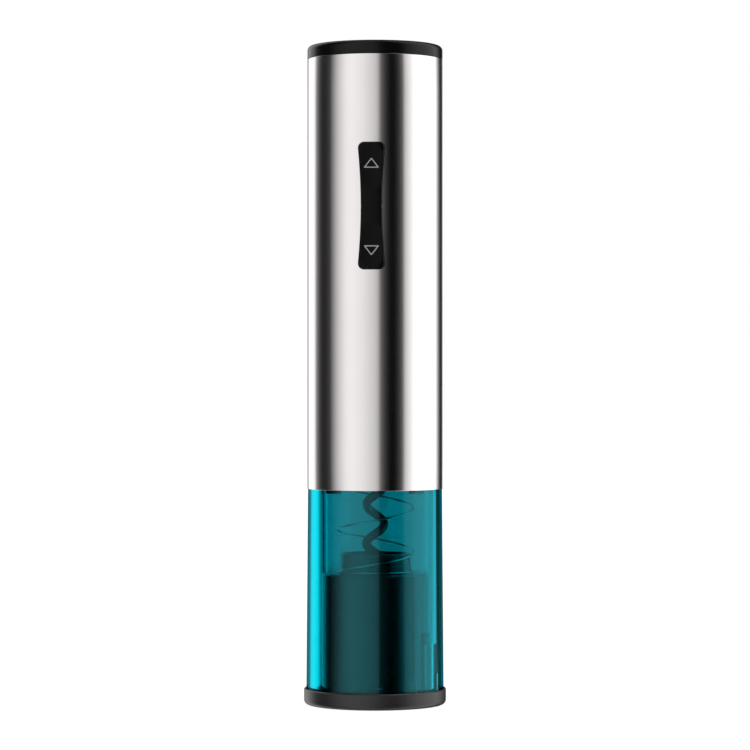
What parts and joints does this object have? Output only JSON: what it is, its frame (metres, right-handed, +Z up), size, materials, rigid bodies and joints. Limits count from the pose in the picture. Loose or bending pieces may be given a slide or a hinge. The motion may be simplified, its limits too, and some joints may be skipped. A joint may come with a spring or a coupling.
{
  "type": "electric wine opener",
  "caption": "Upright cordless wine opener: steel sleeve with a long rocker button, clear teal lower body with sprung bottle guide and corkscrew worm, dark base ring and twist-off battery cap.",
  "frame": {"origin": "centre of the flat underside of the base ring, on the tool's axis", "axes": "+Z up the tool's axis towards the battery cap; the rocker button faces -Y"},
  "size_m": [0.0518, 0.0518, 0.24],
  "materials": {
    "steel_sleeve": "fine circumferential brushing, satin",
    "smoky_teal": "clear teal polycarbonate",
    "gloss_black": "gloss",
    "satin_black": "fine satin texture",
    "inner_plastic": "matt moulded",
    "white_plastic": "acetal, satin",
    "spring_steel": "bright drawn wire",
    "worm_steel": "dark low friction coating",
    "zinc_steel": "bright zinc plate",
    "motor_steel": "drawn, zinc plated",
    "bronze": "sintered",
    "copper": "enamelled wire",
    "magnet": "ferrite",
    "nickel": "nickel plated",
    "board_green": "solder mask",
    "cell_wrap": "printed film",
    "lead_red": "insulation",
    "lead_black": "insulation"
  },
  "bodies": {
    "housing": {"base_ring": "satin_black", "base_ring_screws": "zinc_steel", "battery_1": "cell_wrap", "battery_2": "cell_wrap", "battery_3": "cell_wrap", "battery_4": "cell_wrap", "battery_contacts": "nickel", "battery_holder": "inner_plastic", "battery_springs": "nickel", "board_screws": "zinc_steel", "clear_body": "smoky_teal", "frame_front": "inner_plastic", "frame_rear": "inner_plastic", "frame_screws": "zinc_steel", "gearbox_cover": "inner_plastic", "gearbox_housing": "inner_plastic", "gearbox_screws": "zinc_steel", "motor_brushes": "magnet", "motor_bushes": "bronze", "motor_can": "motor_steel", "motor_end_cap": "inner_plastic", "motor_lead_black": "lead_black", "motor_lead_red": "lead_red", "motor_magnets": "magnet", "motor_plate": "motor_steel", "motor_screws": "zinc_steel", "motor_terminals": "nickel", "neck_screws": "zinc_steel", "output_bush": "bronze", "return_spring": "spring_steel", "rocker_pin": "zinc_steel", "spring_housing": "satin_black", "steel_sleeve": "steel_sleeve", "switch_board": "board_green", "switch_bracket": "inner_plastic", "tact_switches": "inner_plastic"},
    "bottle_guide": {"guide_sleeve": "gloss_black"},
    "worm_drive": {"worm": "worm_steel", "worm_hub": "motor_steel", "hub_pins": "zinc_steel", "output_carrier": "motor_steel", "output_planet_pins": "zinc_steel"},
    "input_stage": {"input_carrier": "white_plastic", "input_planet_pins": "zinc_steel"},
    "motor_rotor": {"motor_shaft": "zinc_steel", "motor_pinion": "bronze", "armature_core": "motor_steel", "armature_windings": "copper", "commutator": "copper"},
    "cap": {"battery_cap": "gloss_black", "cap_contacts": "nickel"},
    "rocker": {"rocker_button": "gloss_black"},
    "plunger_upper": {"tact_plunger_upper": "satin_black"},
    "plunger_lower": {"tact_plunger_lower": "satin_black"},
    "output_planet_a": {"output_planet_a": "motor_steel"},
    "output_planet_b": {"output_planet_b": "motor_steel"},
    "output_planet_c": {"output_planet_c": "motor_steel"},
    "input_planet_a": {"input_planet_a": "white_plastic"},
    "input_planet_b": {"input_planet_b": "white_plastic"},
    "input_planet_c": {"input_planet_c": "white_plastic"}
  },
  "joints": [
    {"name": "guide_slide", "type": "slide", "parent": "housing", "child": "bottle_guide", "axis": [0, 0, 1], "range_m": [0, 0.029], "stiffness_N_per_m": 120, "springref_m": -0.01, "deforming": ["return_spring"]},
    {"name": "worm_spin", "type": "hinge", "parent": "housing", "child": "worm_drive", "pos_m": [0, 0, 0.114], "axis": [0, 0, 1], "continuous": true},
    {"name": "input_stage_spin", "type": "hinge", "parent": "housing", "child": "input_stage", "pos_m": [0, 0, 0.133], "axis": [0, 0, 1], "continuous": true},
    {"name": "rotor_spin", "type": "hinge", "parent": "housing", "child": "motor_rotor", "pos_m": [0, 0, 0.158], "axis": [0, 0, 1], "continuous": true},
    {"name": "cap_twist", "type": "hinge", "parent": "housing", "child": "cap", "pos_m": [0, 0, 0.235], "axis": [0, 0, 1], "range_deg": [0, 30]},
    {"name": "rocker_tilt", "type": "hinge", "parent": "housing", "child": "rocker", "pos_m": [0, -0.02, 0.18055], "axis": [1, 0, 0], "range_deg": [-2, 2], "stiffness_Nm_per_rad": 0.9},
    {"name": "output_planet_a_spin", "type": "hinge", "parent": "worm_drive", "child": "output_planet_a", "pos_m": [0.00825, 0, 0.129], "axis": [0, 0, 1], "continuous": true},
    {"name": "output_planet_b_spin", "type": "hinge", "parent": "worm_drive", "child": "output_planet_b", "pos_m": [-0.00413, 0.00714, 0.129], "axis": [0, 0, 1], "continuous": true},
    {"name": "output_planet_c_spin", "type": "hinge", "parent": "worm_drive", "child": "output_planet_c", "pos_m": [-0.00413, -0.00714, 0.129], "axis": [0, 0, 1], "continuous": true},
    {"name": "input_planet_a_spin", "type": "hinge", "parent": "input_stage", "child": "input_planet_a", "pos_m": [0.00825, 0, 0.137], "axis": [0, 0, 1], "continuous": true},
    {"name": "input_planet_b_spin", "type": "hinge", "parent": "input_stage", "child": "input_planet_b", "pos_m": [-0.00413, 0.00714, 0.137], "axis": [0, 0, 1], "continuous": true},
    {"name": "input_planet_c_spin", "type": "hinge", "parent": "input_stage", "child": "input_planet_c", "pos_m": [-0.00413, -0.00714, 0.137], "axis": [0, 0, 1], "continuous": true},
    {"name": "plunger_upper_slide", "type": "slide", "parent": "housing", "child": "plunger_upper", "axis": [0, 1, 0], "range_m": [-0.0007, 0.0007]},
    {"name": "plunger_lower_slide", "type": "slide", "parent": "housing", "child": "plunger_lower", "axis": [0, 1, 0], "range_m": [-0.0007, 0.0007]}
  ],
  "couplings": [
    {"joint": "worm_spin", "follows": "rotor_spin", "ratio": 0.033058},
    {"joint": "input_stage_spin", "follows": "rotor_spin", "ratio": 0.18182},
    {"joint": "output_planet_a_spin", "follows": "rotor_spin", "ratio": -0.085006},
    {"joint": "output_planet_b_spin", "follows": "rotor_spin", "ratio": -0.085006},
    {"joint": "output_planet_c_spin", "follows": "rotor_spin", "ratio": -0.085006},
    {"joint": "input_planet_a_spin", "follows": "rotor_spin", "ratio": -0.46753},
    {"joint": "input_planet_b_spin", "follows": "rotor_spin", "ratio": -0.46753},
    {"joint": "input_planet_c_spin", "follows": "rotor_spin", "ratio": -0.46753},
    {"joint": "plunger_upper_slide", "follows": "rocker_tilt", "m_per_rad": -0.014},
    {"joint": "plunger_lower_slide", "follows": "rocker_tilt", "m_per_rad": 0.014}
  ]
}
